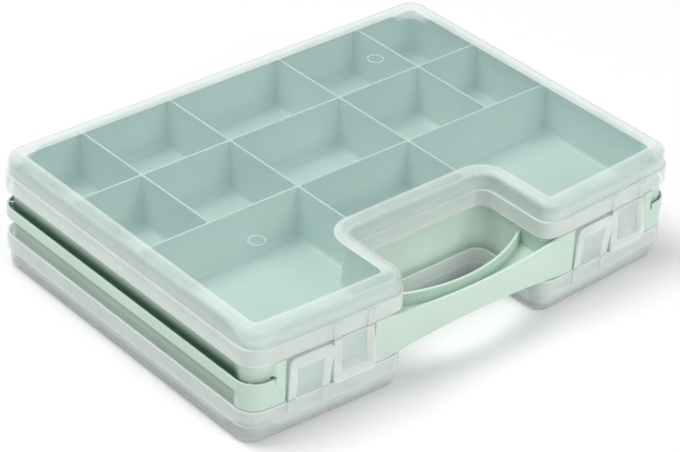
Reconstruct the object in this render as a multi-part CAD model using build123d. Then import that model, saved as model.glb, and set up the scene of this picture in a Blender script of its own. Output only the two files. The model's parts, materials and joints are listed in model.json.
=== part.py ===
from build123d import *
from math import asin, cos, degrees, radians, sin, sqrt
import os

# Two-sided organiser case: a green body with compartments above and below a floor at half height,
# a carrying handle across a notch in its bowed front, and two equal clear lids on snap hinges.
# Millimetres. X runs along the front, Y from front to back, Z up. The case lies on its lower lid,
# and the origin is on the table under the middle of its outer box.

# Outer shape, measured over the flanges of the lids
case_width = 350.0
case_depth = 258.0
case_height = 82.0
front_bow = 6.0
corner_radius = 14.0
notch_width = 112.0
notch_depth = 58.5
notch_mouth_radius = 12.0
notch_back_radius = 8.0
smallest_radius = 3.0

# Lids
lid_height = 25.0
lid_wall = 1.5
flange_height = 11.5
flange_lip = 1.8
lid_edge_radius = 5.5
lid_edge_steps = 2
lid_panel_thickness = 1.8
rim_inset = 8.5
rim_slope = 4.5
rim_rise = 2.4
lid_clearance = 0.4

# Body
wall_inset = 4.6
wall_thickness = 1.6
floor_thickness = 1.6
relief_length = 18.0
relief_slope = 10.0
relief_depth = 8.0

# Dividers, by the places of their middle planes
outer_column_from_side = 59.7
middle_column_width = 91.4
back_row_from_back = 71.3
front_row_from_back = 138.9
divider_base = 2.2
divider_top = 1.5

# Belt round the sides and back, and the plates that carry it on to the latch pockets
belt_inset = 0.4
belt_thickness = 1.5
belt_height = 8.0
belt_web = 2.0
plate_gap = 0.8
outer_plate_width = 9.7
plate_inner_from_notch = 8.0
rib_thickness = 1.5
gusset_thickness = 1.6

# Latches, side by side in each pocket
latch_width = 29.0
latch_gap = 2.0
latch_side_gap = 1.8
latch_thickness = 2.2
latch_border = 3.6
latch_recess = 1.0
latch_root_gap = 0.25
latch_overlap = 3.8
latch_tip_height = 6.0
latch_tip_clearance = 0.8
latch_tip_radius = 5.0
catch_width = 12.0
catch_height = 2.2
catch_bite = 0.9
catch_gap = 0.4
boss_width = 13.0
boss_height = 7.6
boss_reach = 2.6

# Handle
handle_wall = 2.2
handle_height_middle = 20.0
handle_height_end = 28.0
arch_depth_middle = 11.0
arch_depth_end = 28.5
handle_web_thickness = 2.0
handle_edge_chamfer = 0.6

# Hinges
hinge_from_side = 65.0
hinge_pin_radius = 1.5
hinge_pin_clearance = 0.08
hinge_eye_radius = 3.0
hinge_stand_off = 3.5
hinge_arm_width = 10.0
hinge_arm_thickness = 3.8
hinge_side_gap = 0.3
knuckle_width = 5.5

# Heights that follow
mid_height = case_height / 2
lid_edge_z = case_height - lid_height
step_z = lid_edge_z + flange_height
panel_top_z = case_height - rim_rise
panel_under_z = panel_top_z - lid_panel_thickness
wall_top_z = panel_under_z - lid_clearance
floor_top_z = mid_height + floor_thickness / 2
hinge_axis_z = lid_edge_z + flange_height / 2
latch_root_radius = latch_thickness / 2
latch_root_z = lid_edge_z - latch_root_gap - latch_root_radius
latch_tip_z = case_height - lid_edge_z - latch_overlap
boss_catch_z = mid_height - boss_height / 2
catch_top_z = boss_catch_z - catch_gap

# Places along the width, right of the middle
outer_column_x = case_width / 2 - outer_column_from_side
inner_column_x = middle_column_width / 2
plate_inner_x = notch_width / 2 + plate_inner_from_notch
hinge_x = case_width / 2 - hinge_from_side

# The pair of latches is in the middle between the side and the notch
latch_pair_x = (case_width / 2 + notch_width / 2) / 2
latch_step = (latch_width + latch_gap) / 2
latch_inner_x = latch_pair_x - latch_step
latch_outer_x = latch_pair_x + latch_step
pocket_half = latch_width + latch_gap / 2 + latch_side_gap
plate_outer_x = latch_pair_x + pocket_half + outer_plate_width

# The bowed front is an arc of this radius
bow_radius = ((case_width / 2) ** 2 + front_bow**2) / (2 * front_bow)
latch_reach = latch_tip_clearance + latch_thickness

# The tip corners of the inner latches are the foremost points and the hinge eyes the rearmost
latch_turn_sine = latch_inner_x / bow_radius
tip_radius_in_plan = (bow_radius + latch_reach) * sqrt(1 - latch_turn_sine**2)
front_reach = tip_radius_in_plan + latch_width / 2 * latch_turn_sine - bow_radius
back_reach = hinge_stand_off + hinge_eye_radius
front_y = (front_reach - case_depth - back_reach) / 2
back_y = front_y + case_depth
bow_centre_y = front_y + bow_radius
hinge_axis_y = back_y + hinge_stand_off
wall_inner = wall_inset + wall_thickness

# The handle's inner wall is an arc from side to side of the notch
arch_half = notch_width / 2 + wall_inset
arch_rise = arch_depth_end - arch_depth_middle
arch_radius = (arch_half**2 + arch_rise**2) / (2 * arch_rise)
arch_centre_y = front_y + arch_depth_middle + arch_radius


def front_curve(x, inset):
    """Y of the bowed front at x, set in by inset."""
    return bow_centre_y - sqrt((bow_radius - inset) ** 2 - x**2)


def round_corners(sketch, points, radius):
    """The sketch with the corner nearest each point rounded."""
    for point in points:
        corner = sketch.vertices().sort_by_distance((*point, 0))[0]
        sketch = fillet(corner, max(radius, smallest_radius))
    return sketch


def outline(inset):
    """Plan of the case with its notch, set in by inset all round."""
    side = case_width / 2 - inset
    back = back_y - inset
    mouth = notch_width / 2 + inset
    notch_back = front_y + notch_depth + inset
    middle = (side + mouth) / 2
    corner_y = front_curve(side, inset)
    mouth_y = front_curve(mouth, inset)
    lobe_y = front_curve(middle, inset)
    edges = [
        Line((-side, back), (side, back)),
        Line((side, back), (side, corner_y)),
        ThreePointArc((side, corner_y), (middle, lobe_y), (mouth, mouth_y)),
        Line((mouth, mouth_y), (mouth, notch_back)),
        Line((mouth, notch_back), (-mouth, notch_back)),
        Line((-mouth, notch_back), (-mouth, mouth_y)),
        ThreePointArc((-mouth, mouth_y), (-middle, lobe_y), (-side, corner_y)),
        Line((-side, corner_y), (-side, back)),
    ]
    plan = make_face(edges)
    outer_corners = [(-side, back), (side, back), (side, corner_y), (-side, corner_y)]
    plan = round_corners(plan, outer_corners, corner_radius - inset)
    plan = round_corners(plan, [(mouth, mouth_y), (-mouth, mouth_y)], notch_mouth_radius - inset)
    return round_corners(plan, [(mouth, notch_back), (-mouth, notch_back)], notch_back_radius + inset)


def prism(plan, low, high):
    """The plan made solid between two heights."""
    return extrude(Pos(0, 0, low) * plan, high - low)


def ring(outer_inset, inner_inset, low, high):
    """A wall that follows the outline between two insets."""
    return prism(outline(outer_inset) - outline(inner_inset), low, high)


def block(x_range, y_range, z_range):
    """A box given by its low and high corner along each axis."""
    size = [high - low for low, high in (x_range, y_range, z_range)]
    middle = [(high + low) / 2 for low, high in (x_range, y_range, z_range)]
    return Pos(*middle) * Box(*size)


def turned_over(shape):
    """The shape turned half round about the front-to-back axis at half height."""
    return shape.rotate(Axis((0, 0, mid_height), (0, 1, 0)), 180)


def on_front(x, inset=0.0):
    """Place on the bowed front at x, its X along the front and its -Y outwards."""
    return Location((x, front_curve(x, inset), 0), (0, 0, degrees(asin(x / (bow_radius - inset)))))


def side_profile(points, width):
    """A solid of the given width along X from (Y, Z) points."""
    section = Plane.YZ * Polygon(*points, align=None)
    return extrude(section, width / 2, both=True)


def lid():
    """Upper lid: a recessed panel in a rounded rim, a skirt, and a wider flange at its edge."""
    crown_base_z = case_height - lid_edge_radius
    turns = [radians(90 * step / lid_edge_steps) for step in range(lid_edge_steps + 1)]
    crown = [
        Pos(0, 0, crown_base_z + lid_edge_radius * sin(turn))
        * outline(flange_lip + lid_edge_radius * (1 - cos(turn)))
        for turn in turns
    ]
    recess = [
        Pos(0, 0, panel_top_z) * outline(rim_inset + rim_slope),
        Pos(0, 0, case_height) * outline(rim_inset),
    ]
    shell = prism(outline(0), lid_edge_z, step_z)
    shell += prism(outline(flange_lip), step_z, crown_base_z)
    shell += loft(crown, ruled=True)
    hollow = prism(outline(lid_wall), lid_edge_z, step_z - lid_wall)
    hollow += prism(outline(flange_lip + lid_wall), lid_edge_z, panel_under_z)
    return shell - loft(recess, ruled=True) - hollow


def hinge_knuckle():
    """Two ears on the back of the upper lid, with the pin between them, at the middle of X."""
    ear = Plane.YZ * Circle(hinge_eye_radius)
    ear = Pos(0, hinge_axis_y, hinge_axis_z) * extrude(ear, knuckle_width)
    ear += block(
        (0, knuckle_width),
        (back_y, hinge_axis_y),
        (hinge_axis_z - hinge_eye_radius, hinge_axis_z + hinge_eye_radius),
    )
    offset = hinge_arm_width / 2 + hinge_side_gap
    length = 2 * (offset + knuckle_width)
    pin = Pos(-length / 2, hinge_axis_y, hinge_axis_z) * extrude(Plane.YZ * Circle(hinge_pin_radius), length)
    return Pos(offset, 0, 0) * ear + Pos(-offset - knuckle_width, 0, 0) * ear + pin


def hinge_arm():
    """A bracket from the belt to the pins of both lids, at the middle of X."""
    half = hinge_arm_width / 2
    low_axis_z = case_height - hinge_axis_z
    arm = block(
        (-half, half),
        (hinge_axis_y - hinge_arm_thickness / 2, hinge_axis_y + hinge_arm_thickness / 2),
        (low_axis_z, hinge_axis_z),
    )
    arm += block(
        (-half, half),
        (back_y - belt_inset, hinge_axis_y),
        (mid_height - belt_height / 2, mid_height + belt_height / 2),
    )
    for axis_z in (low_axis_z, hinge_axis_z):
        centre = Pos(-half, hinge_axis_y, axis_z)
        arm += centre * extrude(Plane.YZ * Circle(hinge_eye_radius), hinge_arm_width)
    for axis_z in (low_axis_z, hinge_axis_z):
        centre = Pos(-half, hinge_axis_y, axis_z)
        arm -= centre * extrude(Plane.YZ * Circle(hinge_pin_radius + hinge_pin_clearance), hinge_arm_width)
    return arm


def latch():
    """Upper latch tongue in its own frame: a ribbed border round a recess, and a catch inside.

    The tongue leans out so that its tip clears the flange of the other lid.
    """
    axis_y = lid_wall - latch_root_radius
    outer_root_y = axis_y - latch_root_radius
    tip_y = -latch_reach
    knee_z = latch_tip_z + latch_tip_height
    tongue = side_profile(
        [
            (outer_root_y, latch_root_z),
            (tip_y, knee_z),
            (tip_y, latch_tip_z),
            (tip_y + latch_thickness, latch_tip_z),
            (tip_y + latch_thickness, knee_z),
            (lid_wall, latch_root_z),
        ],
        latch_width,
    )
    root = Pos(-latch_width / 2, axis_y, latch_root_z) * extrude(Plane.YZ * Circle(latch_root_radius), latch_width)
    tongue += root
    tip_edges = tongue.edges().filter_by(Axis.Y).group_by(Axis.Z)[0]
    tongue = fillet(tip_edges, latch_tip_radius)
    inner_half = latch_width / 2 - latch_border
    recess = side_profile(
        [
            (outer_root_y + latch_recess, latch_root_z + latch_thickness),
            (outer_root_y + latch_recess, latch_root_z),
            (tip_y + latch_recess, knee_z),
            (tip_y + latch_recess, latch_tip_z + latch_border),
            (tip_y - latch_thickness, latch_tip_z + latch_border),
            (tip_y - latch_thickness, latch_root_z + latch_thickness),
        ],
        2 * inner_half,
    )
    catch_face_y = wall_inset - boss_reach + catch_bite
    slope = (lid_wall - tip_y - latch_thickness) / (latch_root_z - knee_z)
    back_y_at_catch = lid_wall - slope * (latch_root_z - catch_top_z) - latch_recess / 2
    catch = side_profile(
        [
            (back_y_at_catch, catch_top_z),
            (catch_face_y, catch_top_z),
            (catch_face_y, catch_top_z - catch_height / 2),
            (back_y_at_catch, catch_top_z - 2 * catch_height),
        ],
        catch_width,
    )
    return tongue - recess + catch


def boss():
    """Wedge that an upper latch snaps under, in the frame of its latch."""
    return side_profile(
        [
            (wall_inset, boss_catch_z),
            (wall_inset - boss_reach, boss_catch_z),
            (wall_inset - boss_reach, mid_height),
            (wall_inset, boss_catch_z + boss_height),
        ],
        boss_width,
    )


def seated_boss(x):
    """The boss of the upper latch at x, trimmed to the wall that it stands on."""
    return on_front(x) * boss() - prism(outline(wall_inset), 0, case_height)


def corner_relief():
    """What is cut from the wall's upper edge at its outer corners."""
    low = relief_length * 2
    high = (relief_length + relief_slope) * 2
    corner = loft(
        [
            Pos(0, 0, wall_top_z - relief_depth) * Rectangle(low, low),
            Pos(0, 0, wall_top_z) * Rectangle(high, high),
        ],
        ruled=True,
    )
    x = case_width / 2
    places = [(-x, back_y), (x, back_y), (-x, front_y + front_bow), (x, front_y + front_bow)]
    return sum((Pos(*place, 0) * corner for place in places[1:]), Pos(*places[0], 0) * corner)


def outer_wall():
    """Wall of the compartments, lower at the outer corners."""
    wall = ring(wall_inset, wall_inner, case_height - wall_top_z, wall_top_z)
    relief = corner_relief()
    return wall - relief - turned_over(relief)


def belt():
    """Rim and web round the sides and back, with a gusset at each back corner and side."""
    low = mid_height - belt_height / 2
    high = mid_height + belt_height / 2
    band = ring(belt_inset, belt_inset + belt_thickness, low, high)
    band += ring(belt_inset, wall_inset, mid_height - belt_web / 2, mid_height + belt_web / 2)
    gussets = ring(belt_inset, wall_inset, low, high)
    reach = case_width
    cut = [
        Pos(sx * (case_width / 2 - corner_radius), y, mid_height)
        * Rot(0, 0, angle)
        * Pos(reach / 2, 0, 0)
        * Box(reach, gusset_thickness, case_height)
        for sx, y, angle in (
            (1, back_y - corner_radius, 45),
            (-1, back_y - corner_radius, 135),
            (1, front_y + front_bow + corner_radius, -45),
            (-1, front_y + front_bow + corner_radius, -135),
        )
    ]
    for slot in cut:
        band += gussets & slot
    front = block(
        (-plate_outer_x, plate_outer_x),
        (front_y - case_depth, front_y + notch_depth + 2 * wall_inset),
        (0, case_height),
    )
    return band - front


def front_plate(x_low, x_high):
    """Part of the front between belt or handle and a latch pocket, with a web and end ribs."""
    low = case_height - lid_edge_z + plate_gap
    high = lid_edge_z - plate_gap
    y_range = (front_y - case_depth, front_y + notch_depth / 2)
    zone = block((x_low, x_high), y_range, (0, case_height))
    face = ring(belt_inset, belt_inset + belt_thickness, low, high)
    web = ring(belt_inset, wall_inset, mid_height - belt_web / 2, mid_height + belt_web / 2)
    solid = ring(belt_inset, wall_inset, low, high)
    ribs = block((x_low, x_low + rib_thickness), y_range, (0, case_height))
    ribs += block((x_high - rib_thickness, x_high), y_range, (0, case_height))
    return ((face + web) & zone) + (solid & ribs)


def long_divider(y):
    """Divider along the whole width."""
    reach = case_width / 2 - wall_inner
    return divider((-reach, y), (reach, y))


def divider(start, end):
    """A wall on the floor from one plan point to another, thinner at its top."""
    along = Vector(*end) - Vector(*start)
    plane = Plane(origin=(*start, 0), x_dir=along.rotate(Axis.Z, 90), z_dir=along)
    section = Polygon(
        (-divider_base / 2, floor_top_z),
        (divider_base / 2, floor_top_z),
        (divider_top / 2, wall_top_z),
        (-divider_top / 2, wall_top_z),
        align=None,
    )
    return extrude(plane * section, along.length)


def bowed_wall(centre_y, outer_radius, inner_radius, half_length):
    """Plan of a wall between two radii about a centre on the middle plane, bowed to the front."""

    def point(radius, x):
        return x, centre_y - sqrt(radius**2 - x**2)

    x = half_length
    outer = ThreePointArc(point(outer_radius, -x), point(outer_radius, 0), point(outer_radius, x))
    inner = ThreePointArc(point(inner_radius, -x), point(inner_radius, 0), point(inner_radius, x))
    return make_face([outer, inner, Line(outer @ 0, inner @ 0), Line(outer @ 1, inner @ 1)])


def waist(half_length):
    """Side view of the handle's outer wall, lower in the middle than at its ends."""
    end = handle_height_end / 2
    middle = handle_height_middle / 2
    x = half_length
    edges = [
        ThreePointArc((-x, end), (0, middle), (x, end)),
        Line((x, end), (x, -end)),
        ThreePointArc((x, -end), (0, -middle), (-x, -end)),
        Line((-x, -end), (-x, end)),
    ]
    view = Plane.XZ * make_face(edges)
    return Pos(0, 0, mid_height) * extrude(view, case_depth, both=True)


def handle_outer_wall():
    """Outer wall of the handle, which carries the bowed front across the notch."""
    outer_radius = bow_radius - belt_inset
    plan = bowed_wall(bow_centre_y, outer_radius, outer_radius - handle_wall, plate_inner_x)
    return prism(plan, 0, case_height) & waist(plate_inner_x)


def handle_inner_wall():
    """Arched wall that the fingers close on, with its edges broken."""
    plan = bowed_wall(arch_centre_y, arch_radius + handle_wall / 2, arch_radius - handle_wall / 2, arch_half)
    half = handle_height_middle / 2
    wall = prism(plan, mid_height - half, mid_height + half)
    long_edges = wall.edges().filter_by(GeomType.CIRCLE)
    return chamfer(long_edges, handle_edge_chamfer)


def handle_web():
    """Web at half height between the handle's two walls."""
    front_radius = bow_radius - belt_inset - handle_wall
    back_radius = arch_radius + handle_wall / 2
    x = plate_inner_x
    front_end_y = bow_centre_y - sqrt(front_radius**2 - x**2)
    back_end_y = arch_centre_y - sqrt(back_radius**2 - arch_half**2)
    front = ThreePointArc((x, front_end_y), (0, bow_centre_y - front_radius), (-x, front_end_y))
    back = ThreePointArc((-arch_half, back_end_y), (0, arch_centre_y - back_radius), (arch_half, back_end_y))
    left = Polyline((-x, front_end_y), (-x, back_end_y), (-arch_half, back_end_y))
    right = Polyline((arch_half, back_end_y), (x, back_end_y), (x, front_end_y))
    plan = make_face([front, left, back, right]) - outline(wall_inset)
    return prism(plan, mid_height - handle_web_thickness / 2, mid_height + handle_web_thickness / 2)


def group(solids):
    """Several separate solids as one node."""
    return Compound(children=list(solids))


def build():
    """Every node by name."""
    back_row_y = back_y - back_row_from_back
    front_row_y = back_y - front_row_from_back
    back_wall_y = back_y - wall_inner
    notch_wall_y = front_y + notch_depth + wall_inner
    rows = [long_divider(y) for y in (back_row_y, front_row_y)]
    both_rows = rows[0] + rows[1]
    columns = []
    for x in (-outer_column_x, -inner_column_x, inner_column_x, outer_column_x):
        stations = [back_wall_y, back_row_y, front_row_y]
        if abs(x) == inner_column_x:
            stations.append(notch_wall_y)
        for start, end in zip(stations, stations[1:]):
            columns.append(divider((x, start), (x, end)) - both_rows)
    pocket = (latch_pair_x - pocket_half, latch_pair_x + pocket_half)
    outer_plate = front_plate(pocket[1], plate_outer_x)
    inner_plate = front_plate(plate_inner_x, pocket[0])
    upper_lid = lid()
    knuckles = [Pos(x, 0, 0) * hinge_knuckle() for x in (-hinge_x, hinge_x)]
    left_latch = on_front(-latch_inner_x) * latch()
    right_latch = on_front(latch_outer_x) * latch()
    upper_bosses = [seated_boss(-latch_inner_x), seated_boss(latch_outer_x)]
    return {
        "floor_plate": prism(outline(wall_inner), mid_height - floor_thickness / 2, floor_top_z),
        "outer_wall": outer_wall(),
        "belt": belt(),
        "front_plates_left": group([mirror(outer_plate, Plane.YZ), mirror(inner_plate, Plane.YZ)]),
        "front_plates_right": group([outer_plate, inner_plate]),
        "latch_bosses": group(upper_bosses + [turned_over(b) for b in upper_bosses]),
        "top_long_dividers": group(rows),
        "top_cross_dividers": group(columns),
        "bottom_long_dividers": group(turned_over(r) for r in rows),
        "bottom_cross_dividers": group(turned_over(c) for c in columns),
        "handle_outer_wall": handle_outer_wall(),
        "handle_inner_wall": handle_inner_wall(),
        "handle_web": handle_web(),
        "hinge_arms": group([Pos(x, 0, 0) * hinge_arm() for x in (-hinge_x, hinge_x)]),
        "top_lid": upper_lid,
        "top_lid_knuckles": group(knuckles),
        "top_latch_left": left_latch,
        "top_latch_right": right_latch,
        "bottom_lid": turned_over(upper_lid),
        "bottom_lid_knuckles": group(turned_over(k) for k in knuckles),
        "bottom_latch_left": turned_over(right_latch),
        "bottom_latch_right": turned_over(left_latch),
    }


os.makedirs("parts", exist_ok=True)
for name, shape in build().items():
    export_step(shape, f"parts/{name}.step")

print("hinge axis of the upper lid", hinge_axis_y, hinge_axis_z)
print("front and back of the flanges", front_y, back_y)
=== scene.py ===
"""Looks of a two-sided organiser case: a mint green moulding with compartments, and two clear lids.

Every piece is in metres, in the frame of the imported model. X runs along the front, Y to the back, Z up.
"""

import json
import math
from functools import partial

import bmesh
import bpy
import numpy as np
from mathutils import Matrix, Vector, geometry


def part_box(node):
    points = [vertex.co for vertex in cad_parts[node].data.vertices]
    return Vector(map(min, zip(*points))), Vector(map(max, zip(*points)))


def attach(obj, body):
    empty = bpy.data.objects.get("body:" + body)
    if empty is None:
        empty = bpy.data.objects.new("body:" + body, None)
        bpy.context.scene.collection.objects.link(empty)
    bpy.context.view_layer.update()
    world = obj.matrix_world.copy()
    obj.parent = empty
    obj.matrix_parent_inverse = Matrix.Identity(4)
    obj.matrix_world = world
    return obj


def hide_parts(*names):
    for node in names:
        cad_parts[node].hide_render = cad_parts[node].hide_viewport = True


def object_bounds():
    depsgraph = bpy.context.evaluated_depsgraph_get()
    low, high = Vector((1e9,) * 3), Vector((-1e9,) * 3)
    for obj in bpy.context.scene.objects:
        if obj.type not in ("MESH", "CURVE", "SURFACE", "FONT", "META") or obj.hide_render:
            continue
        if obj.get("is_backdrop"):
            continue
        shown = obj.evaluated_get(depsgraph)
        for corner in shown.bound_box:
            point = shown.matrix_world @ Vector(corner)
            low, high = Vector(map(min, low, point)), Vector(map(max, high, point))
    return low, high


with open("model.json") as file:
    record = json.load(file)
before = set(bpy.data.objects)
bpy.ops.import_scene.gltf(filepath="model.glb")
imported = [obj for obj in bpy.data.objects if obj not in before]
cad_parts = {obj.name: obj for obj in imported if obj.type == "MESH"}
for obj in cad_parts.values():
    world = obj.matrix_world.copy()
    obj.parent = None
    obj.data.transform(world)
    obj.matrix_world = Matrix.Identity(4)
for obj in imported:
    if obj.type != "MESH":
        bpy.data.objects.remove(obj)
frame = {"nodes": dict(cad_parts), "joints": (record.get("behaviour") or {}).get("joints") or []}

bl_info = {
    "name": "Organiser Case",
    "version": (1, 0, 0),
    "blender": (4, 5, 0),
    "location": "View3D > Sidebar > Case",
    "description": "Builds the moulded body, the clear lids and the studio of an organiser case",
    "category": "Add Mesh",
}

MM = 0.001
QUARTER = math.pi / 2
GREEN, CLEAR = "green_body", "clear_lid"

# The camera that was fitted to the photograph
SENSOR_WIDTH_MM = 36.0
FOCAL_LENGTH_MM = 138.0
VIEW_AZIMUTH = math.radians(42.24)
VIEW_DOWN = math.radians(33.03)
VIEW_ROLL = math.radians(3.05)
VIEW_DISTANCE = 1687.3 * MM
VIEW_RIGHT = 1.237 * MM
VIEW_UP = 20.515 * MM

CASE_DEPTH = 258.0 * MM
lid_low, lid_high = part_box("top_lid")
plate_low, plate_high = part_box("front_plates_right")
HALF_WIDTH = lid_high.x
BACK_Y = lid_high.y
FRONT_Y = BACK_Y - CASE_DEPTH
MIDDLE_Z = lid_high.z / 2
WALL_TOP_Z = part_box("top_cross_dividers")[1].z

# Points on each corner arc of the case's plan, and between two corners
CORNER_POINTS = 9
SIDE_POINTS = 14

# Pieces that meet the body's wall reach this far into it
SEAT = 0.3 * MM
# How far the outer front plates run up the sides past the corners
PLATE_SIDE_RUN = 22 * MM
# Haze of the clear plastic's small solid pieces and ring marks, and over the parts of a latch tongue, with a
# painted highlight on the tongue's slope
SOLID_HAZE, RING_HAZE = 0.3, 0.35
BORDER_HAZE, RECESS_HAZE, SLOPE_PAINTED_HIGHLIGHT, INNER_HAZE = 0.52, 0.32, 0.25, 0.05


def linear(hex_colour):
    """Linear RGB of an sRGB hex value: ((c + 0.055) / 1.055) ^ 2.4 above the toe, c / 12.92 in it."""
    channels = [int(hex_colour[i : i + 2], 16) / 255 for i in (1, 3, 5)]
    return tuple(c / 12.92 if c <= 0.04045 else ((c + 0.055) / 1.055) ** 2.4 for c in channels)


def length(name, description, millimetres):
    """A length property of the case, with its default in millimetres."""
    settings = dict(default=millimetres * MM, min=0.0, unit="LENGTH", subtype="DISTANCE")
    return bpy.props.FloatProperty(name=name, description=description, **settings)


def colour(name, description, hex_colour):
    """A colour property with an sRGB default."""
    settings = dict(default=linear(hex_colour), min=0.0, max=1.0, size=3, subtype="COLOR")
    return bpy.props.FloatVectorProperty(name=name, description=description, **settings)


class CasePlanSizes(bpy.types.PropertyGroup):
    """Sizes of the case seen from above."""

    front_bow: length("Front bow", "How far the front bows out over the full width", 6.0)
    corner_radius: length("Corner radius", "Outer corners of the lid flanges", 14.0)
    smallest_radius: length("Smallest radius", "Corners that an inset would sharpen keep this radius", 3.0)
    notch_width: length("Notch width", "Width of the handle's notch between the flanges", 112.0)
    notch_depth: length("Notch depth", "Depth of the notch from the middle of the front", 58.5)
    mouth_radius: length("Notch mouth radius", "Rounding where the notch meets the front", 12.0)
    notch_radius: length("Notch back radius", "Rounding at the back of the notch", 8.0)


class LidSizes(bpy.types.PropertyGroup):
    """Sizes across a lid's rim, as insets from the flange and heights below the crest."""

    wall: length("Wall", "Thickness of the lid's skirt and flange", 1.5)
    panel: length("Panel", "Thickness of the recessed panel", 1.8)
    flange_lip: length("Flange lip", "How far the flange stands out from the skirt", 1.8)
    flange_height: length("Flange height", "Height of the flange", 11.5)
    edge_radius: length("Edge radius", "Rounding of the lid's outer top edge", 5.5)
    rim_inset: length("Rim inset", "Inner edge of the flat crest", 8.5)
    rim_slope: length("Rim slope", "Width of the slope down to the panel", 4.5)
    rim_rise: length("Rim rise", "How far the crest stands above the panel", 2.4)
    bead: length("Bead", "Height of the bead along the flange's lower edge", 1.2)
    groove: length("Groove", "Depth of the groove above the bead", 0.12)
    ring_radius: length("Ring mark", "Radius of the moulded rings on the panels", 5.3)
    ring_thickness: length("Ring thickness", "Radius of a ring's section", 0.35)


class TraySizes(bpy.types.PropertyGroup):
    """Sizes of the body's wall, floor, compartments, belt, plates and handle."""

    wall_inset: length("Wall inset", "Outer face of the wall, from the flange", 4.6)
    wall: length("Wall", "Thickness of the outer wall", 1.6)
    floor: length("Floor", "Thickness of the floor", 1.6)
    divider: length("Divider", "Thickness of a divider at its top", 1.5)
    draft: length("Draft", "How much a compartment narrows on each side down to its floor", 0.35)
    cove: length("Cove", "Rounding where a compartment's wall meets its floor", 3.2)
    pocket_radius: length("Compartment corner", "Upright corners of a compartment", 1.6)
    lip_radius: length("Lip radius", "Rounding of the walls' upper edges", 0.35)
    relief_length: length("Relief length", "Length of the lowered wall at each outer corner", 18.0)
    relief_slope: length("Relief slope", "Length of the curve down to the lowered wall", 11.0)
    relief_depth: length("Relief depth", "How much lower the wall is at the outer corners", 8.0)
    belt_reach: length("Belt reach", "How far the belt, plates and handle stand proud of the flange", 0.0)
    belt_wall: length("Belt wall", "Thickness of the belt's rim", 1.5)
    belt_height: length("Belt height", "Height of the belt's rim", 8.0)
    belt_web: length("Belt web", "Thickness of the belt's web", 2.0)
    gusset: length("Gusset", "Thickness of the ribs across the belt's channel", 1.6)
    plate_end: length("Plate end", "Where the belt's slit ends, from the latch pocket", 7.8)
    plate_depth: length("Plate depth", "How far the plate lies behind the belt's face at the corner", 2.4)
    plate_slope: length("Plate slope", "Length over which the plate falls back to the wall", 10.0)
    hole_radius: length("Hole radius", "Radius of the dimple at the slit's end", 1.7)
    hole_depth: length("Hole depth", "Depth of the dimple at the slit's end", 3.2)
    handle_flare: length("Handle flare", "How far the handle's ends reach over the lobes", 10.5)


class LatchSizes(bpy.types.PropertyGroup):
    """Sizes of a latch tongue."""

    width: length("Width", "Width of the tongue at its root", 30.6)
    pair_gap: length("Pair gap", "Gap between the two tongues of a pocket", 1.6)
    pocket_gap: length("Pocket gap", "Gap between a tongue and its pocket's side", 1.4)
    flare: length("Flare", "How much wider the tongue is on each side at its tip", 1.1)
    thickness: length("Thickness", "Thickness of the tongue", 2.2)
    reach: length("Reach", "How far the tip stands proud of the flange", 2.94)
    knee: length("Knee", "Height of the tip's upright part", 6.0)
    border: length("Border", "Width of the raised border along the sides", 5.2)
    tip_border: length("Tip border", "Width of the raised border at the tip", 7.0)
    border_slope: length("Border slope", "Width of the slope from the border to the recess", 1.4)
    recess: length("Recess", "Depth of the recess inside the border", 0.9)
    tip_gap: length("Tip gap", "Gap between the tongue's tip and the other lid's flange", 0.6)
    tip_radius: length("Tip radius", "Rounding of the tongue's lower corners", 5.0)
    edge_radius: length("Edge radius", "Rounding of the tongue's outer edges", 0.7)
    catch_width: length("Catch width", "Width of the catch behind the tongue", 12.0)
    catch_reach: length("Catch reach", "How far the catch reaches in from the flange's face", 2.9)
    catch_drop: length("Catch drop", "How far the catch's upper face lies below half height", 4.2)
    catch_face: length("Catch face", "Height of the catch's upright face", 1.1)
    catch_height: length("Catch height", "Height of the catch at the tongue", 4.4)
    root_radius: length("Root radius", "Radius of the bead at the root", 1.28)


class CaseColours(bpy.types.PropertyGroup):
    """Colours of the two plastics, of the painted shade in the body's channels, and of the studio floor."""

    body: colour("Body", "Mint green plastic", "#C8DCD0")
    body_deep: colour("Body, deeper", "Mint green where the moulding is slightly denser", "#C1D6CA")
    # Painted shade: a dark green painted into the channels beside the belt, where shade falls
    body_channel: colour("Body, in the channels", "Mint green deep beside the belt", "#4E705D")
    panel: colour("Lid panel", "Bluish tint of the clear plastic where it is thin and flat", "#A6C3CE")
    lid: colour("Lid", "Milky tint of the clear plastic at its rim", "#EFF4F2")
    floor: colour("Floor", "Studio floor", "#F4F4F3")


def plan():
    return bpy.context.scene.case_plan


def lid_sizes():
    return bpy.context.scene.case_lid


def tray_sizes():
    return bpy.context.scene.case_tray


def latch_sizes():
    return bpy.context.scene.case_latch


def bow_radius():
    """Radius of the bowed front: (half width squared + bow squared) / (2 bow)."""
    bow = plan().front_bow
    return (HALF_WIDTH**2 + bow**2) / (2 * bow)


def front_curve(x, inset=0.0):
    """Y of the bowed front: centre - sqrt(radius^2 - x^2), with the radius less the inset."""
    radius = bow_radius()
    return FRONT_Y + radius - np.sqrt((radius - inset) ** 2 - np.square(x))


def smooth_step(t):
    """3 t^2 - 2 t^3 of t held between 0 and 1."""
    t = np.clip(t, 0, 1)
    return t * t * (3 - 2 * t)


def rolled(radius, distance):
    """Drop of a quarter arc of that radius at a distance from its edge: r - sqrt(r^2 - (r - d)^2)."""
    return radius - np.sqrt(np.maximum(radius**2 - np.maximum(radius - distance, 0) ** 2, 0))


def stack(*axes):
    """Stacks values and arrays along a new last axis, broadcast against each other."""
    return np.stack(np.broadcast_arrays(*axes), -1)


def lifted(flat, z):
    """Plan points given a height."""
    return stack(flat[..., 0], flat[..., 1], z)


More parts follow.
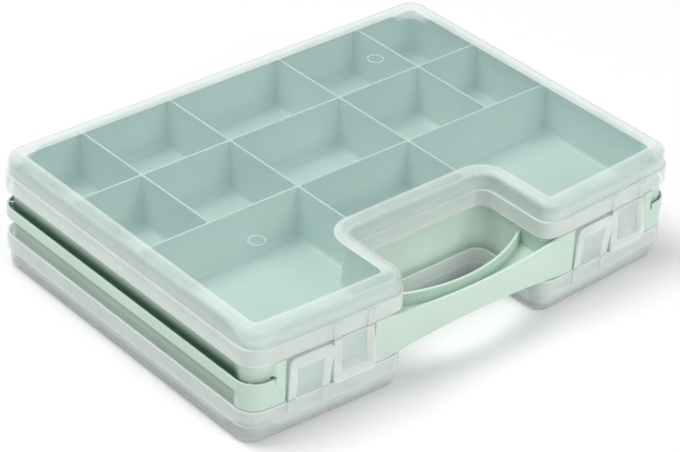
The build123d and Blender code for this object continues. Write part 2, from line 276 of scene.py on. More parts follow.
def arc(centre_x, centre_y, radius, start, end, count=CORNER_POINTS):
    """Points centre + radius (cos a, sin a), a from start to end in equal steps, ends included."""
    angle = start + (end - start) * np.linspace(0, 1, count)
    return stack(centre_x + radius * np.cos(angle), centre_y + radius * np.sin(angle))


def between(first, last, count=SIDE_POINTS):
    """Points first + t (last - first), t in equal steps, with neither end."""
    t = np.linspace(0, 1, count + 2)[1:-1, None]
    return first[:, -1:] + (last[:, :1] - first[:, -1:]) * t


def mirrored(points):
    """The points on the other face of the case: z becomes 2 MIDDLE_Z - z."""
    return points * (1, 1, -1) + (0, 0, 2 * MIDDLE_Z)


def outline(inset):
    """Plan of the case, set in, as a closed line of the same number of points for every inset.

    Straight sides and two bow arcs are joined by corner arcs. A convex corner's radius is less the inset,
    a concave one's is more, and a corner between the bow and a side has its centre where both are tangent.
    """
    s = plan()
    inset = np.atleast_1d(inset)[:, None]
    side = HALF_WIDTH - inset
    back = BACK_Y - inset
    mouth = s.notch_width / 2 + inset
    notch_back = FRONT_Y + s.notch_depth + inset
    bow = bow_radius() - inset
    bow_y = FRONT_Y + bow_radius()
    outer = np.maximum(s.corner_radius - inset, s.smallest_radius)
    round_mouth = np.maximum(s.mouth_radius - inset, s.smallest_radius)
    inner = s.notch_radius + inset
    corner_x = side - outer
    corner_y = bow_y - np.sqrt((bow - outer) ** 2 - corner_x**2)
    lip_x = mouth + round_mouth
    lip_y = bow_y - np.sqrt((bow - round_mouth) ** 2 - lip_x**2)
    corner_turn = np.arctan2(corner_y - bow_y, corner_x)
    lip_turn = np.arctan2(lip_y - bow_y, lip_x)
    half = 2 * QUARTER
    front = arc(corner_x, corner_y, outer, corner_turn, 0.0)
    rear = arc(corner_x, back - outer, outer, 0.0, QUARTER)
    notch = arc(mouth - inner, notch_back - inner, inner, QUARTER, 0.0)
    lip = arc(lip_x, lip_y, round_mouth, half, 2 * half + lip_turn)
    right_bow = arc(0.0, bow_y, bow, lip_turn, corner_turn, SIDE_POINTS + 2)[:, 1:-1]
    arcs = [front, rear, *(line[:, ::-1] * (-1, 1) for line in (rear, front, lip, notch)), notch, lip]
    joins = [between(arcs[i], arcs[i + 1]) for i in range(7)] + [right_bow]
    joins[3] = right_bow[:, ::-1] * (-1, 1)
    return np.concatenate([part for pair in zip(arcs, joins) for part in pair], axis=1)


def carry(profile, line=outline):
    """Grid of points: each (inset, z) of the profile carried round the line at that inset."""
    return lifted(line(profile[:, 0]), profile[:, 1:])


class Solid:
    """Collects grids and flat faces into one closed mesh.

    Each point has a milk value. On clear plastic it says how hazy the surface is, with a painted highlight
    at some bends, and on green plastic it is a painted shade, darkest in a channel beside the belt.
    """

    def __init__(self, *tubes):
        self.points, self.faces, self.milk, self.count = [], [], [], 0
        for tube in tubes:
            self.add_tube(tube)

    def add_points(self, points, milk=0.0):
        """Adds points and returns the first one's index."""
        points = np.asarray(points, float).reshape(-1, 3)
        start = self.count
        self.points.append(points)
        self.milk.append(np.broadcast_to(np.asarray(milk, float).reshape(-1), (len(points),)))
        self.count += len(points)
        return start

    def add_grid(self, grid, milk=0.0, close_rows=False):
        """Adds a grid of closed rows with its quads. Milk is one value, one a row or one a point."""
        rows, columns = grid.shape[:2]
        milk = np.repeat(milk, columns) if np.ndim(milk) == 1 else milk
        start = self.add_points(grid, milk)
        row = np.arange(rows if close_rows else rows - 1)[:, None]
        here, there = row * columns, (row + 1) % rows * columns
        first, second = np.arange(columns), np.arange(1, columns + 1) % columns
        quads = stack(here + first, here + second, there + second, there + first)
        self.faces += (quads.reshape(-1, 4) + start).tolist()
        return start

    def add_cap(self, start, count):
        """Adds one flat face over a run of vertices."""
        self.faces.append(list(range(start, start + count)))

    def add_tube(self, grid, milk=0.0):
        """Adds a tube of closed rows with both ends capped."""
        start = self.add_grid(grid, milk)
        rows, columns = grid.shape[:2]
        self.add_cap(start, columns)
        self.add_cap(start + (rows - 1) * columns, columns)

    def turned_over(self):
        """The same mesh turned half round about the front-to-back axis at half height."""
        other = Solid()
        other.add_points(mirrored(np.concatenate(self.points)) * (-1, 1, 1), np.concatenate(self.milk))
        other.faces = list(self.faces)
        return other

    def build(self, name, body, slot, nodes=(), sharp=50):
        """Makes the mesh object, points its faces outwards and seats it on its body."""
        mesh = bpy.data.meshes.new(name)
        mesh.from_pydata(np.concatenate(self.points).tolist(), [], self.faces)
        work = bmesh.new()
        work.from_mesh(mesh)
        bmesh.ops.recalc_face_normals(work, faces=work.faces)
        if work.calc_volume(signed=True) < 0:
            bmesh.ops.reverse_faces(work, faces=work.faces)
        work.to_mesh(mesh)
        work.free()
        finish_piece(mesh, np.concatenate(self.milk), name, body, slot, nodes, sharp)


def new_object(name, data):
    """A new object in the scene."""
    made = bpy.data.objects.new(name, data)
    bpy.context.scene.collection.objects.link(made)
    return made


def finish_piece(mesh, milk, name, body, slot, nodes, sharp):
    """Milk attribute, smooth shading weighted by face area, a material, and a seat on a body."""
    values = mesh.attributes.new("milk", "FLOAT", "POINT")
    values.data.foreach_set("value", milk.astype(np.float32))
    mesh.polygons.foreach_set("use_smooth", [True] * len(mesh.polygons))
    mesh.set_sharp_from_angle(angle=math.radians(sharp))
    mesh.materials.clear()
    mesh.materials.append(plastic(slot))
    piece = new_object(name, mesh)
    shading = piece.modifiers.new("even_shading", "WEIGHTED_NORMAL")
    shading.keep_sharp = True
    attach(piece, body)
    if nodes:
        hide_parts(*nodes)
    return piece


def round_section(half_width, half_height, radius, count=5):
    """Rounded rectangle: sign (half size - radius) + radius (cos a, sin a) round its four corners.

    Returns its across and up values. A line of half heights gives one row of values for each.
    """
    turn = np.concatenate([np.linspace(k, k + 1, count) for k in range(4)]) * QUARTER
    side = np.repeat((1, -1, -1, 1), count)
    level = np.repeat((1, 1, -1, -1), count)
    across = side * (half_width - radius) + radius * np.cos(turn)
    up = level * (np.asarray(half_height)[..., None] - radius) + radius * np.sin(turn)
    return np.broadcast_arrays(across, up)


def stand_on(line, turn, section):
    """Sections stood on a plan line: each point is line + across (cos turn, sin turn), at MIDDLE_Z + up."""
    across, up = section
    x, y = line.T[..., None]
    turn = turn[:, None]
    return stack(x + across * np.cos(turn), y + across * np.sin(turn), MIDDLE_Z + up)


def stand_on_bow(x, inset, section, front=FRONT_Y, radius=None):
    """Sections stood on a bow, set in: y = front + radius - sqrt((radius - inset)^2 - x^2)."""
    radius = radius or bow_radius()
    y = front + radius - np.sqrt((radius - inset) ** 2 - x**2)
    turn = np.arctan2(y - front - radius, x)
    return stand_on(stack(x, y), turn, section)


def node(tree, kind, settings=None, links=None):
    """Adds a shader node, sets its properties and inputs, and links each source to an input.

    A source is an output, or a node whose first output is meant.
    """
    made = tree.nodes.new(f"ShaderNode{kind}")
    for key, value in (settings or {}).items():
        if isinstance(key, str) and hasattr(made, key):
            setattr(made, key, value)
        else:
            made.inputs[key].default_value = value
    for key, source in (links or {}).items():
        tree.links.new(getattr(source, "outputs", (source,))[0], made.inputs[key])
    return made


def new_material(name):
    """A new material, a function that adds nodes to it, and the object coordinates for its patterns."""
    material = bpy.data.materials.new(name)
    material.use_nodes = True
    material.node_tree.nodes.clear()
    add = partial(node, material.node_tree)
    return material, add, add("TexCoord").outputs["Object"]


def plastic(slot):
    """The plastic of a material slot, made when it is first needed."""
    maker = {GREEN: mint_polypropylene, CLEAR: natural_polypropylene}[slot]
    return bpy.data.materials.get(maker.__name__) or maker()


# Noise values seldom leave this range, so gloss and haze are spread over it
NOISE_SPREAD = {"From Min": 0.3, "From Max": 0.7}
POLYPROPYLENE_IOR = 1.49


def mint_polypropylene():
    """Opaque polypropylene, injection moulded against a finely spark-eroded steel face.

    The eye gets an even, slightly waxy green with soft broad highlights. The tint drifts a little over
    some 60 mm, where the melt ran, and a grain of about 0.7 mm breaks the gloss up. The milk attribute
    holds a painted shade: the green is painted dark and full in the channels beside the belt.
    """
    material, add, place = new_material("mint_polypropylene")
    colours = bpy.context.scene.case_colours
    flow = add("TexNoise", {"Scale": 1 / (60 * MM), "Detail": 2.0, "Roughness": 0.5}, {"Vector": place})
    grain = add("TexNoise", {"Scale": 1 / (0.7 * MM), "Detail": 3.0, "Roughness": 0.6}, {"Vector": place})
    tint = add("ValToRGB", links={"Fac": flow})
    stops = ((0.35, colours.body_deep), (0.65, colours.body))
    for element, (position, shown) in zip(tint.color_ramp.elements, stops):
        element.position = position
        element.color = (*shown, 1)
    # Painted shade: the attribute mixes the tint towards the dark channel green
    painted_shade = add("Attribute", {"attribute_name": "milk"}).outputs["Fac"]
    shade = add("Mix", {"data_type": "RGBA", 7: (*colours.body_channel, 1)}, {0: painted_shade, 6: tint}).outputs[2]
    gloss = add("MapRange", {**NOISE_SPREAD, "To Min": 0.30, "To Max": 0.42}, {"Value": grain})
    bump = add("Bump", {"Strength": 0.10, "Distance": 0.05 * MM}, {"Height": grain})
    settings = {"IOR": POLYPROPYLENE_IOR, "Subsurface Weight": 0.15, "Subsurface Scale": 2 * MM}
    settings["Subsurface Radius"] = (0.8, 1.0, 0.9)
    links = {"Base Color": shade, "Roughness": gloss, "Normal": bump}
    add("OutputMaterial", links={"Surface": add("BsdfPrincipled", settings, links)})
    return material


def natural_polypropylene():
    """Uncoloured polypropylene, injection moulded against polished steel: clear but faintly milky.

    The eye sees through it with a pale haze that thickens at bends, ribs and grazing angles. The milk
    attribute says how hazy each surface is, and at some bends it also paints a highlight. Faint flow waves
    some 25 mm long soften the reflections.
    """
    material, add, place = new_material("natural_polypropylene")
    colours = bpy.context.scene.case_colours
    milk = add("Attribute", {"attribute_name": "milk"}).outputs["Fac"]
    waves = add("TexNoise", {"Scale": 1 / (25 * MM), "Detail": 2.0, "Roughness": 0.5}, {"Vector": place})
    tint = add("ValToRGB", links={"Fac": milk})
    stops = ((0.08, colours.panel), (0.35, colours.lid))
    for element, (position, shown) in zip(tint.color_ramp.elements, stops):
        element.position = position
        element.color = (*shown, 1)
    graze = add("LayerWeight", {"Blend": 0.35}).outputs["Facing"]
    thick = add("Math", {"operation": "MULTIPLY_ADD", 1: 0.30}, {0: graze, 2: milk})
    cloud = add("MapRange", {**NOISE_SPREAD, "To Min": 0.92, "To Max": 1.08}, {"Value": waves})
    haze = add("Math", {"operation": "MULTIPLY", "use_clamp": True}, {0: thick, 1: cloud})
    gloss = add("MapRange", {**NOISE_SPREAD, "To Min": 0.16, "To Max": 0.24}, {"Value": waves})
    bump = add("Bump", {"Strength": 0.15, "Distance": 0.4 * MM}, {"Height": waves})
    links = {"Base Color": tint, "Roughness": gloss, "Normal": bump, "Alpha": haze}
    shader = add("BsdfPrincipled", {"IOR": POLYPROPYLENE_IOR}, links)
    add("OutputMaterial", links={"Surface": shader})
    return material


def lid_profile():
    """Section of the upper lid as (inset, z, milk) rows, from the panel over the crest and back inside.

    The outer edge is a quarter arc, the crest is flat, a slope leads down to the panel, and a shallow
    groove above the flange's lower edge leaves a bead along it. Milk is high where the plastic bends,
    above all at the slope's foot and the bead, and low inside and on the panel. At the slope's foot and
    the bead it is partly the haze of the bend and partly a painted highlight line.
    """
    s = lid_sizes()
    top, edge = lid_high.z, lid_low.z
    soft, fillet = 0.5 * MM, 1 * MM
    panel_top = top - s.rim_rise
    under_panel = panel_top - s.panel
    step = edge + s.flange_height
    under_step = step - s.wall
    skirt = s.flange_lip + s.wall
    foot = s.rim_inset + s.rim_slope
    bead = edge + s.bead
    edge_x = s.flange_lip + s.edge_radius
    parts = [
        ([(foot + fillet, panel_top)], 0.08),
        ([(foot, panel_top)], 0.12),
        # The slope's foot is milkiest: the haze of the bend, with a painted highlight line along it
        ([(foot - soft, panel_top + soft / 2)], 0.46),
        ([(s.rim_inset + soft, top - soft / 3)], 0.40),
        ([(s.rim_inset - soft, top)], 0.33),
        (arc(edge_x, top - s.edge_radius, s.edge_radius, QUARTER, 2 * QUARTER, 12), 0.30),
        (arc(s.flange_lip - soft, step + soft, soft, 0.0, -QUARTER, 4), 0.40),
        (arc(soft, step - soft, soft, QUARTER, 2 * QUARTER, 5), 0.46),
        ([(0.0, bead)], 0.36),
        ([(s.groove, bead - 0.15 * MM)], 0.44),
        ([(s.groove, bead - 0.35 * MM)], 0.50),
        # The bead's lower edge is milkiest: the haze of the bend, with a painted highlight line along it
        ([(0.0, bead - 0.5 * MM)], 0.58),
        (arc(soft, edge + soft, soft, 2 * QUARTER, 3 * QUARTER, 4), 0.60),
        (arc(s.wall - soft, edge + soft, soft, -QUARTER, 0.0, 4), 0.40),
        ([(s.wall, under_step - soft)], 0.08),
        ([(s.wall + soft, under_step), (skirt - soft, under_step)], 0.10),
        ([(skirt, under_step + soft)], 0.08),
        (arc(skirt + fillet, under_panel - fillet, fillet, 2 * QUARTER, QUARTER, 5), 0.08),
        ([(foot + fillet, under_panel)], 0.03),
    ]
    return np.array([(x, z, milk) for points, milk in parts for x, z in points])


def ring_solid(x, y):
    """A torus on the panel: (R + r cos v) round the Z axis, r sin v high, for a moulded ring mark."""
    s = lid_sizes()
    turn = np.linspace(0, 4 * QUARTER, 48, endpoint=False)[:, None]
    section = np.linspace(0, 4 * QUARTER, 10, endpoint=False)[None, :]
    reach = s.ring_radius + s.ring_thickness * np.cos(section)
    level = lid_high.z - s.rim_rise - 0.1 * MM
    height = level + s.ring_thickness * np.sin(section)
    solid = Solid()
    solid.add_grid(stack(x + reach * np.cos(turn), y + reach * np.sin(turn), height), RING_HAZE, True)
    return solid


def on_front(points, x):
    """Moves points from a latch's own frame to the bowed front at x, turned along the front there."""
    spin = np.array(Matrix.Rotation(math.asin(x / bow_radius()), 3, "Z"))
    return points @ spin.T + (x, front_curve(x), 0.0)


class CASE_OT_lids(bpy.types.Operator):
    """Build both clear lids, with the ring marks on their panels"""

    bl_idname = "case.lids"
    bl_label = "Lids"
    bl_options = {"REGISTER", "UNDO"}

    def execute(self, context):
        rows = lid_profile()
        shell = Solid()
        shell.add_tube(carry(rows[:, :2]), rows[:, 2])
        shell.build("lid_shell_top", "top_lid", CLEAR, ["top_lid"])
        shell.turned_over().build("lid_shell_bottom", "bottom_lid", CLEAR, ["bottom_lid"])
        for side, x, from_front in (("left", -107 * MM, 84 * MM), ("right", 96 * MM, 208 * MM)):
            ring = ring_solid(x, FRONT_Y + from_front)
            ring.build(f"ring_mark_top_{side}", "top_lid", CLEAR)
            ring.turned_over().build(f"ring_mark_bottom_{side}", "bottom_lid", CLEAR)
        return {"FINISHED"}


def pocket_line(corners, radii, inset, count=7, steps=12):
    """Closed rounded line inside a box-shaped compartment, set in by inset.

    corners are its plan corners counter-clockwise, and radii their rounding, below 0 at a concave one.
    Each corner moves in by inset along both its sides and gets a quarter arc; each side has points
    between.
    """
    corners = np.asarray(corners, float)
    along = np.roll(corners, -1, axis=0) - corners
    along /= np.linalg.norm(along, axis=1)[:, None]
    inward = stack(-along[:, 1], along[:, 0])
    before = np.roll(inward, 1, axis=0)
    moved = corners + inset * (inward + before)
    arcs = []
    for corner, first, second, radius in zip(moved, before, inward, radii):
        turn = 1 if radius > 0 else -1
        bend = max(abs(radius) - turn * inset, 0.4 * MM)
        centre = corner + turn * bend * (first + second)
        start = math.atan2(-turn * first[1], -turn * first[0])
        arcs.append(arc(*centre, bend, start, start + turn * QUARTER, count))
    line = []
    for first, second in zip(arcs, arcs[1:] + arcs[:1]):
        line += [first, between(first[None], second[None], steps)[0]]
    return np.concatenate(line)


def divider_places(name, axis):
    """Middle places of the dividers of a node, along X (0) or Y (1), from its faces across that axis."""
    mesh = frame["nodes"][name].data
    points = np.empty(len(mesh.vertices) * 3)
    mesh.vertices.foreach_get("co", points)
    points = points.reshape(-1, 3)
    values = np.unique(np.round(points[points[:, 2] > points[:, 2].max() - 0.01 * MM][:, axis], 5))
    thickness = tray_sizes().divider
    pairs = zip(values, values[1:])
    return sorted((a + b) / 2 for a, b in pairs if abs(b - a - thickness) < 0.05 * MM)


def compartments():
    """Plan corners and corner radii of the compartments, read from where the dividers stand.

    The front ones are drawn as if the front were straight; bowed() then bends them, with no effect at
    the second value returned and the full one at the third. Where a compartment lies in a corner of the
    case, its corner keeps the wall's thickness.
    """
    s = tray_sizes()
    small = s.pocket_radius
    gap = s.divider / 2
    inner = s.wall_inset + s.wall
    side = HALF_WIDTH - inner
    back = BACK_Y - inner
    front = FRONT_Y + inner
    notch_y = FRONT_Y + plan().notch_depth + inner
    notch_x = plan().notch_width / 2 + inner
    rows = divider_places("top_long_dividers", 1)
    columns = divider_places("top_cross_dividers", 0)
    edges = [-side] + [x + k * gap for x in columns for k in (-1, 1)] + [side]
    boxes = list(zip(edges[::2], edges[1::2]))
    outer = plan().corner_radius - inner
    mouth = plan().mouth_radius - inner
    notch = -(plan().notch_radius + inner)
    found = []
    for low, high in ((rows[1] + gap, back), (rows[0] + gap, rows[1] - gap)):
        for x0, x1 in boxes:
            right = outer if high == back and x1 == side else small
            left = outer if high == back and x0 == -side else small
            found.append(([(x0, low), (x1, low), (x1, high), (x0, high)], (small, small, right, left)))
    top = rows[0] - gap
    middle = columns[2] - gap
    middle_box = [(-middle, notch_y), (middle, notch_y), (middle, top), (-middle, top)]
    found.append((middle_box, (small,) * 4))
    end = columns[1] - gap
    left = [(-side, front), (-notch_x, front), (-notch_x, notch_y), (end, notch_y), (end, top), (-side, top)]
    radii = [outer, mouth, notch, small, small, small]
    found.append((left, radii))
    found.append(([(-x, y) for x, y in left][::-1], radii[::-1]))
    return found, top, front


def bowed(points, far, near):
    """Bends the front compartments to the bowed front: y grows by the bow at x, fading out to y = far."""
    x, y = points[..., 0], points[..., 1]
    share = np.clip((far - y) / (far - near), 0, 1)
    return stack(x, y + share * (front_curve(x) - FRONT_Y))


def wall_top(points):
    """Height of the walls' upper edge: level, but lower by a smooth step at the four outer corners."""
    s = tray_sizes()
    side = HALF_WIDTH - np.abs(points[..., 0])
    end = np.minimum(BACK_Y - points[..., 1], points[..., 1] - FRONT_Y - plan().front_bow)
    away = (np.maximum(side, end) - s.relief_length) / s.relief_slope
    return WALL_TOP_Z - s.relief_depth * (1 - smooth_step(away))


def pocket_grid(corners, radii, far, near):
    """Rows of a compartment's surface from its rounded lip down its drafted wall and round its cove."""
    s = tray_sizes()
    floor_z = MIDDLE_Z + s.floor / 2
    lip = s.lip_radius
    rim = arc(-lip, WALL_TOP_Z - lip, lip, QUARTER, 0.0, 5)
    cove = arc(s.draft + s.cove, floor_z + s.cove, s.cove, 2 * QUARTER, 3 * QUARTER, 8)
    rows = []
    for inset, z in np.concatenate([rim, cove]):
        line = bowed(pocket_line(corners, radii, inset), far, near)
        share = (z - floor_z) / (WALL_TOP_Z - floor_z)
        rows.append(lifted(line, floor_z + share * (wall_top(line) - floor_z)))
    return np.stack(rows)


def inside(points, line):
    """Even-odd test of points against a closed line."""
    x, y = points[:, None, 0], points[:, None, 1]
    x0, y0 = line[None, :, 0], line[None, :, 1]
    x1, y1 = np.roll(x0, -1, axis=1), np.roll(y0, -1, axis=1)
    crosses = (y0 > y) != (y1 > y)
    slope = np.where(crosses, (x1 - x0) * (y - y0) / np.where(y1 == y0, 1, y1 - y0) + x0, 0)
    return (np.sum(crosses & (x < slope), axis=1) % 2).astype(bool)


def land_faces(points, loops):
    """Triangles between an outer closed line and the holes inside it, all given as runs of vertices."""
    index = np.concatenate([np.arange(first, first + count) for first, count in loops])
    flat = points[index, :2]
    edges, lines, base = [], [], 0
    for _, count in loops:
        edges += [(base + i, base + (i + 1) % count) for i in range(count)]
        lines.append(flat[base : base + count])
        base += count
    # It is triangulated in millimetres, with a tolerance of 0.0001
    scale = 1 / MM
    made = geometry.delaunay_2d_cdt([Vector(p * scale) for p in flat], edges, [], 0, 1e-4)
    origin = np.array([o[0] for o in made[3]])
    triangles = origin[np.array(made[2])]
    centres = flat[triangles].mean(axis=1)
    keep = inside(centres, lines[0])
    for line in lines[1:]:
        keep &= ~inside(centres, line)
    return index[triangles[keep]].tolist()


def channel_depth(z):
    """Painted shade beside the belt: 1 at the belt's height, falling by a smooth step to 0 on the wall 15 mm
    above and below it.
    """
    return 1 - smooth_step((np.abs(z - MIDDLE_Z) - 3 * MM) / (12 * MM))


def tray_solid():
    """The body's wall, floor and dividers as one moulded surface.

    The wall's outside is carried round the outline. Each compartment is a grid from its lip to its
    floor. The flat land between the lips is a triangulation bounded by them, above and mirrored below.
    """
    s = tray_sizes()
    solid = Solid()
    found, far, near = compartments()
    lip = s.lip_radius
    turn = np.linspace(0, QUARTER, 5)
    outer = outline(s.wall_inset + lip * (1 - np.sin(turn)))
    drop = lip * (1 - np.cos(turn))
    upper = lifted(outer, wall_top(outer[0]) - drop[:, None])
    # The wall has rows across the belt's channel, where its painted shade changes
    rise = np.array([13, 10, 7, 4, 0, -4, -7, -10, -13]) * MM
    wall = lifted(outer[-1], MIDDLE_Z + rise[:, None])
    rows = np.concatenate([upper, wall, mirrored(upper[::-1])])
    # Painted shade goes on the wall's outside near the belt, along the sides and at the back
    painted_shade_beside_belt = (np.abs(rows[..., 0]) > HALF_WIDTH - plan().corner_radius) | (rows[..., 1] > 0)
    start = solid.add_grid(rows, channel_depth(rows[..., 2]) * painted_shade_beside_belt)
    around = len(outer[0])
    loops_top = [(start, around)]
    loops_bottom = [(start + (len(rows) - 1) * around, around)]
    for corners, radii in found:
        grid = pocket_grid(corners, radii, far, near)
        columns = grid.shape[1]
        for shown, loops in ((grid, loops_top), (mirrored(grid), loops_bottom)):
            first = solid.add_grid(shown)
            loops.append((first, columns))
            solid.add_cap(first + (len(grid) - 1) * columns, columns)
    points = np.concatenate(solid.points)
    for loops in (loops_top, loops_bottom):
        solid.faces += land_faces(points, loops)
    return solid


class CASE_OT_tray(bpy.types.Operator):
    """Build the walls, floor and compartments of the body"""

    bl_idname = "case.tray"
    bl_label = "Compartments"
    bl_options = {"REGISTER", "UNDO"}

    def execute(self, context):
        nodes = ["floor_plate", "outer_wall", "top_long_dividers", "top_cross_dividers"]
        nodes += ["bottom_long_dividers", "bottom_cross_dividers"]
        tray_solid().build("case_tray", "case", GREEN, nodes, sharp=60)
        return {"FINISHED"}


def belt_line(inset):
    """The outline from the right front plate round the back to the left one, as an open line."""
    inset = np.atleast_1d(inset)
    first_sides = 4 * CORNER_POINTS + 3 * SIDE_POINTS
    start = stack(plate_high.x, front_curve(plate_high.x, inset))[:, None]
    return np.concatenate([start, outline(inset)[:, :first_sides], start * (-1, 1)], axis=1)


def belt_profile():
    """Closed T section of the belt: a rounded upright rim with a web behind it, coved into the rim."""
    s = tray_sizes()
    half = s.belt_height / 2
    web = s.belt_web / 2
    outer, inner = -s.belt_reach, s.belt_wall - s.belt_reach
    soft = s.belt_wall / 2 - 0.05 * MM
    cove = 0.5 * MM
    upper = [[(s.wall_inset + SEAT, web)]]
    upper += [arc(inner + cove, web + cove, cove, 3 * QUARTER, 2 * QUARTER, 4)]
    upper += [arc(inner - soft, half - soft, soft, 0.0, QUARTER, 5)]
    upper += [arc(outer + soft, half - soft, soft, QUARTER, 2 * QUARTER, 5)]
    upper = np.concatenate(upper)
    return np.concatenate([upper, upper[::-1] * (1, -1)]) + (0, MIDDLE_Z)


def gusset(x, y, turn):
    """A thin rounded rib across the belt's channel, from the wall out to the rim at a corner."""
    s = tray_sizes()
    radius = plan().corner_radius
    reach = np.array([radius - s.wall_inset - SEAT, radius + s.belt_reach - s.belt_wall / 2])
    line = np.array([x, y]) + reach[:, None] * (math.cos(turn), math.sin(turn))
    section = round_section(s.gusset / 2, s.belt_height / 2 - 0.3 * MM, 0.35 * MM)
    return stand_on(line, np.full(2, turn + QUARTER), section)


class CASE_OT_belt(bpy.types.Operator):
    """Build the belt round the sides and back, with its corner gussets"""

    bl_idname = "case.belt"
    bl_label = "Belt"
    bl_options = {"REGISTER", "UNDO"}

    def execute(self, context):
        s = tray_sizes()
        solid = Solid()
        profile = belt_profile()
        grid = np.swapaxes(carry(profile, belt_line), 0, 1)
        # Painted shade on the belt, darkest behind its rim in the channel
        behind_rim = profile[:, 0] - s.belt_wall + s.belt_reach
        deep = smooth_step((behind_rim + 0.2 * MM) / (1 * MM))
        solid.add_tube(grid, np.broadcast_to(deep, grid.shape[:2]))
        radius = plan().corner_radius
        middle_x, back_y = HALF_WIDTH - radius, BACK_Y - radius
        front_y = FRONT_Y + plan().front_bow + radius
        for side, y, turn in ((1, back_y, 45), (-1, back_y, 135), (1, front_y, -45), (-1, front_y, -135)):
            solid.add_tube(gusset(side * middle_x, y, math.radians(turn)))
        solid.build("case_belt", "case", GREEN, ["belt"])
        return {"FINISHED"}


class CASE_OT_handle(bpy.types.Operator):
    """Build the carrying handle: bowed outer wall, arched inner wall and the web between them"""

    bl_idname = "case.handle"
    bl_label = "Handle"
    bl_options = {"REGISTER", "UNDO"}

    def execute(self, context):
        s = tray_sizes()
        outer_low, outer_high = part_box("handle_outer_wall")
        inner_low, inner_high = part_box("handle_inner_wall")
        web_low, web_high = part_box("handle_web")
        wall = web_low.y - outer_low.y
        end_x = outer_high.x + s.handle_flare
        end_height = (outer_high.z - outer_low.z) / 2
        grip_height = (inner_high.z - inner_low.z) / 2
        x = np.linspace(-end_x, end_x, 61)
        height = grip_height + (end_height - grip_height) * (x / outer_high.x) ** 2
        height = np.minimum(height, plate_high.z - MIDDLE_Z)
        section = round_section(wall / 2, height, 0.7 * MM)
        outer = Solid(stand_on_bow(x, wall / 2 - s.belt_reach, section))
        outer.build("handle_front", "case", GREEN, ["handle_outer_wall"])

        reach = inner_high.x + SEAT
        middle_y = inner_low.y + wall / 2
        rise = inner_high.y - wall / 2 - middle_y
        radius = (inner_high.x**2 + rise**2) / (2 * rise)
        section = round_section(wall / 2, grip_height, wall / 2 - 0.1 * MM)
        grip = Solid(stand_on_bow(np.linspace(-reach, reach, 61), 0.0, section, middle_y, radius))
        grip.build("handle_grip", "case", GREEN, ["handle_inner_wall"])

        x = np.linspace(-reach, reach, 41)
        front = front_curve(x, wall / 2 - s.belt_reach)
        back = middle_y + radius - np.sqrt(radius**2 - x**2)
        y = stack(front, back, back, front)
        solid = Solid(stack(x[:, None], y, np.repeat((web_low.z, web_high.z), 2)))
        half_depth = (s.wall_inset + s.belt_reach) / 2 - 0.3 * MM
        section = round_section(half_depth, web_high.z - MIDDLE_Z, 0.2 * MM)
        for side in (-1, 1):
            x = side * np.linspace(reach - 1 * MM, end_x, 9)
            solid.add_tube(stand_on_bow(x, (s.wall_inset - s.belt_reach) / 2, section))
        solid.build("handle_floor", "case", GREEN, ["handle_web"])
        return {"FINISHED"}


def latch_grid(root_z, tip_z):
    """Tongue of an upper latch, as lines round its section from the root down to the tip, and its milk.

    Half width: it grows in a line to the tip, less the corner arcs there. The outer face leans out in a
    line to the knee and hangs straight below. Inside the border it is sunk by a smooth step of the
    distance to the border, and a quarter arc rolls its edges over. The border is milky and the recess is
    clearer; a Gaussian of the step adds a painted highlight that makes the slope between them the brightest.
    """
    s = latch_sizes()
    corner = s.tip_radius
    near_tip = tip_z + corner * (1 - np.sin(np.linspace(0, QUARTER, 16)))
    z = np.concatenate([np.linspace(root_z, tip_z + corner, 44)[:-1], near_tip])[:, None]
    u = np.sin(np.linspace(-QUARTER, QUARTER, 61))[None, :]
    full = s.width / 2 + s.flare * (root_z - z) / (root_z - tip_z)
    into = np.maximum(tip_z + corner - z, 0)
    x = (full - corner + np.sqrt(np.maximum(corner**2 - into**2, 0))) * u
    lean = np.minimum((root_z - z) / (root_z - tip_z - s.knee), 1)
    root_y = lid_sizes().wall - s.thickness
    face = root_y - (s.reach + root_y) * lean
    to_side, to_tip = full - np.abs(x), z - tip_z
    near = np.maximum(corner - to_side, 0), np.maximum(corner - to_tip, 0)
    edge = np.where((near[0] > 0) & (near[1] > 0), corner - np.hypot(*near), np.minimum(to_side, to_tip))
    sink = smooth_step(np.minimum(to_side - s.border, to_tip - s.tip_border) / s.border_slope)
    roll = rolled(s.edge_radius, edge)
    outer = stack(x, face + s.recess * sink + roll, z)
    inner = stack(x, face + s.thickness - 0.5 * roll, z)[:, ::-3]
    # Painted highlight: a Gaussian of the step whitens the slope between border and recess
    slope = np.exp(-(((sink - 0.5) / 0.25) ** 2)) * (sink > 0.02)
    milk = BORDER_HAZE + (RECESS_HAZE - BORDER_HAZE) * sink + SLOPE_PAINTED_HIGHLIGHT * slope
    milk = np.concatenate([milk, np.full(inner.shape[:2], INNER_HAZE)], 1)
    return np.concatenate([outer, inner], 1), milk


def bar(width, y, z):
    """A section of y and z values at x = -width / 2 and at x = width / 2."""
    return stack(np.array([[-0.5], [0.5]]) * width, y, z)


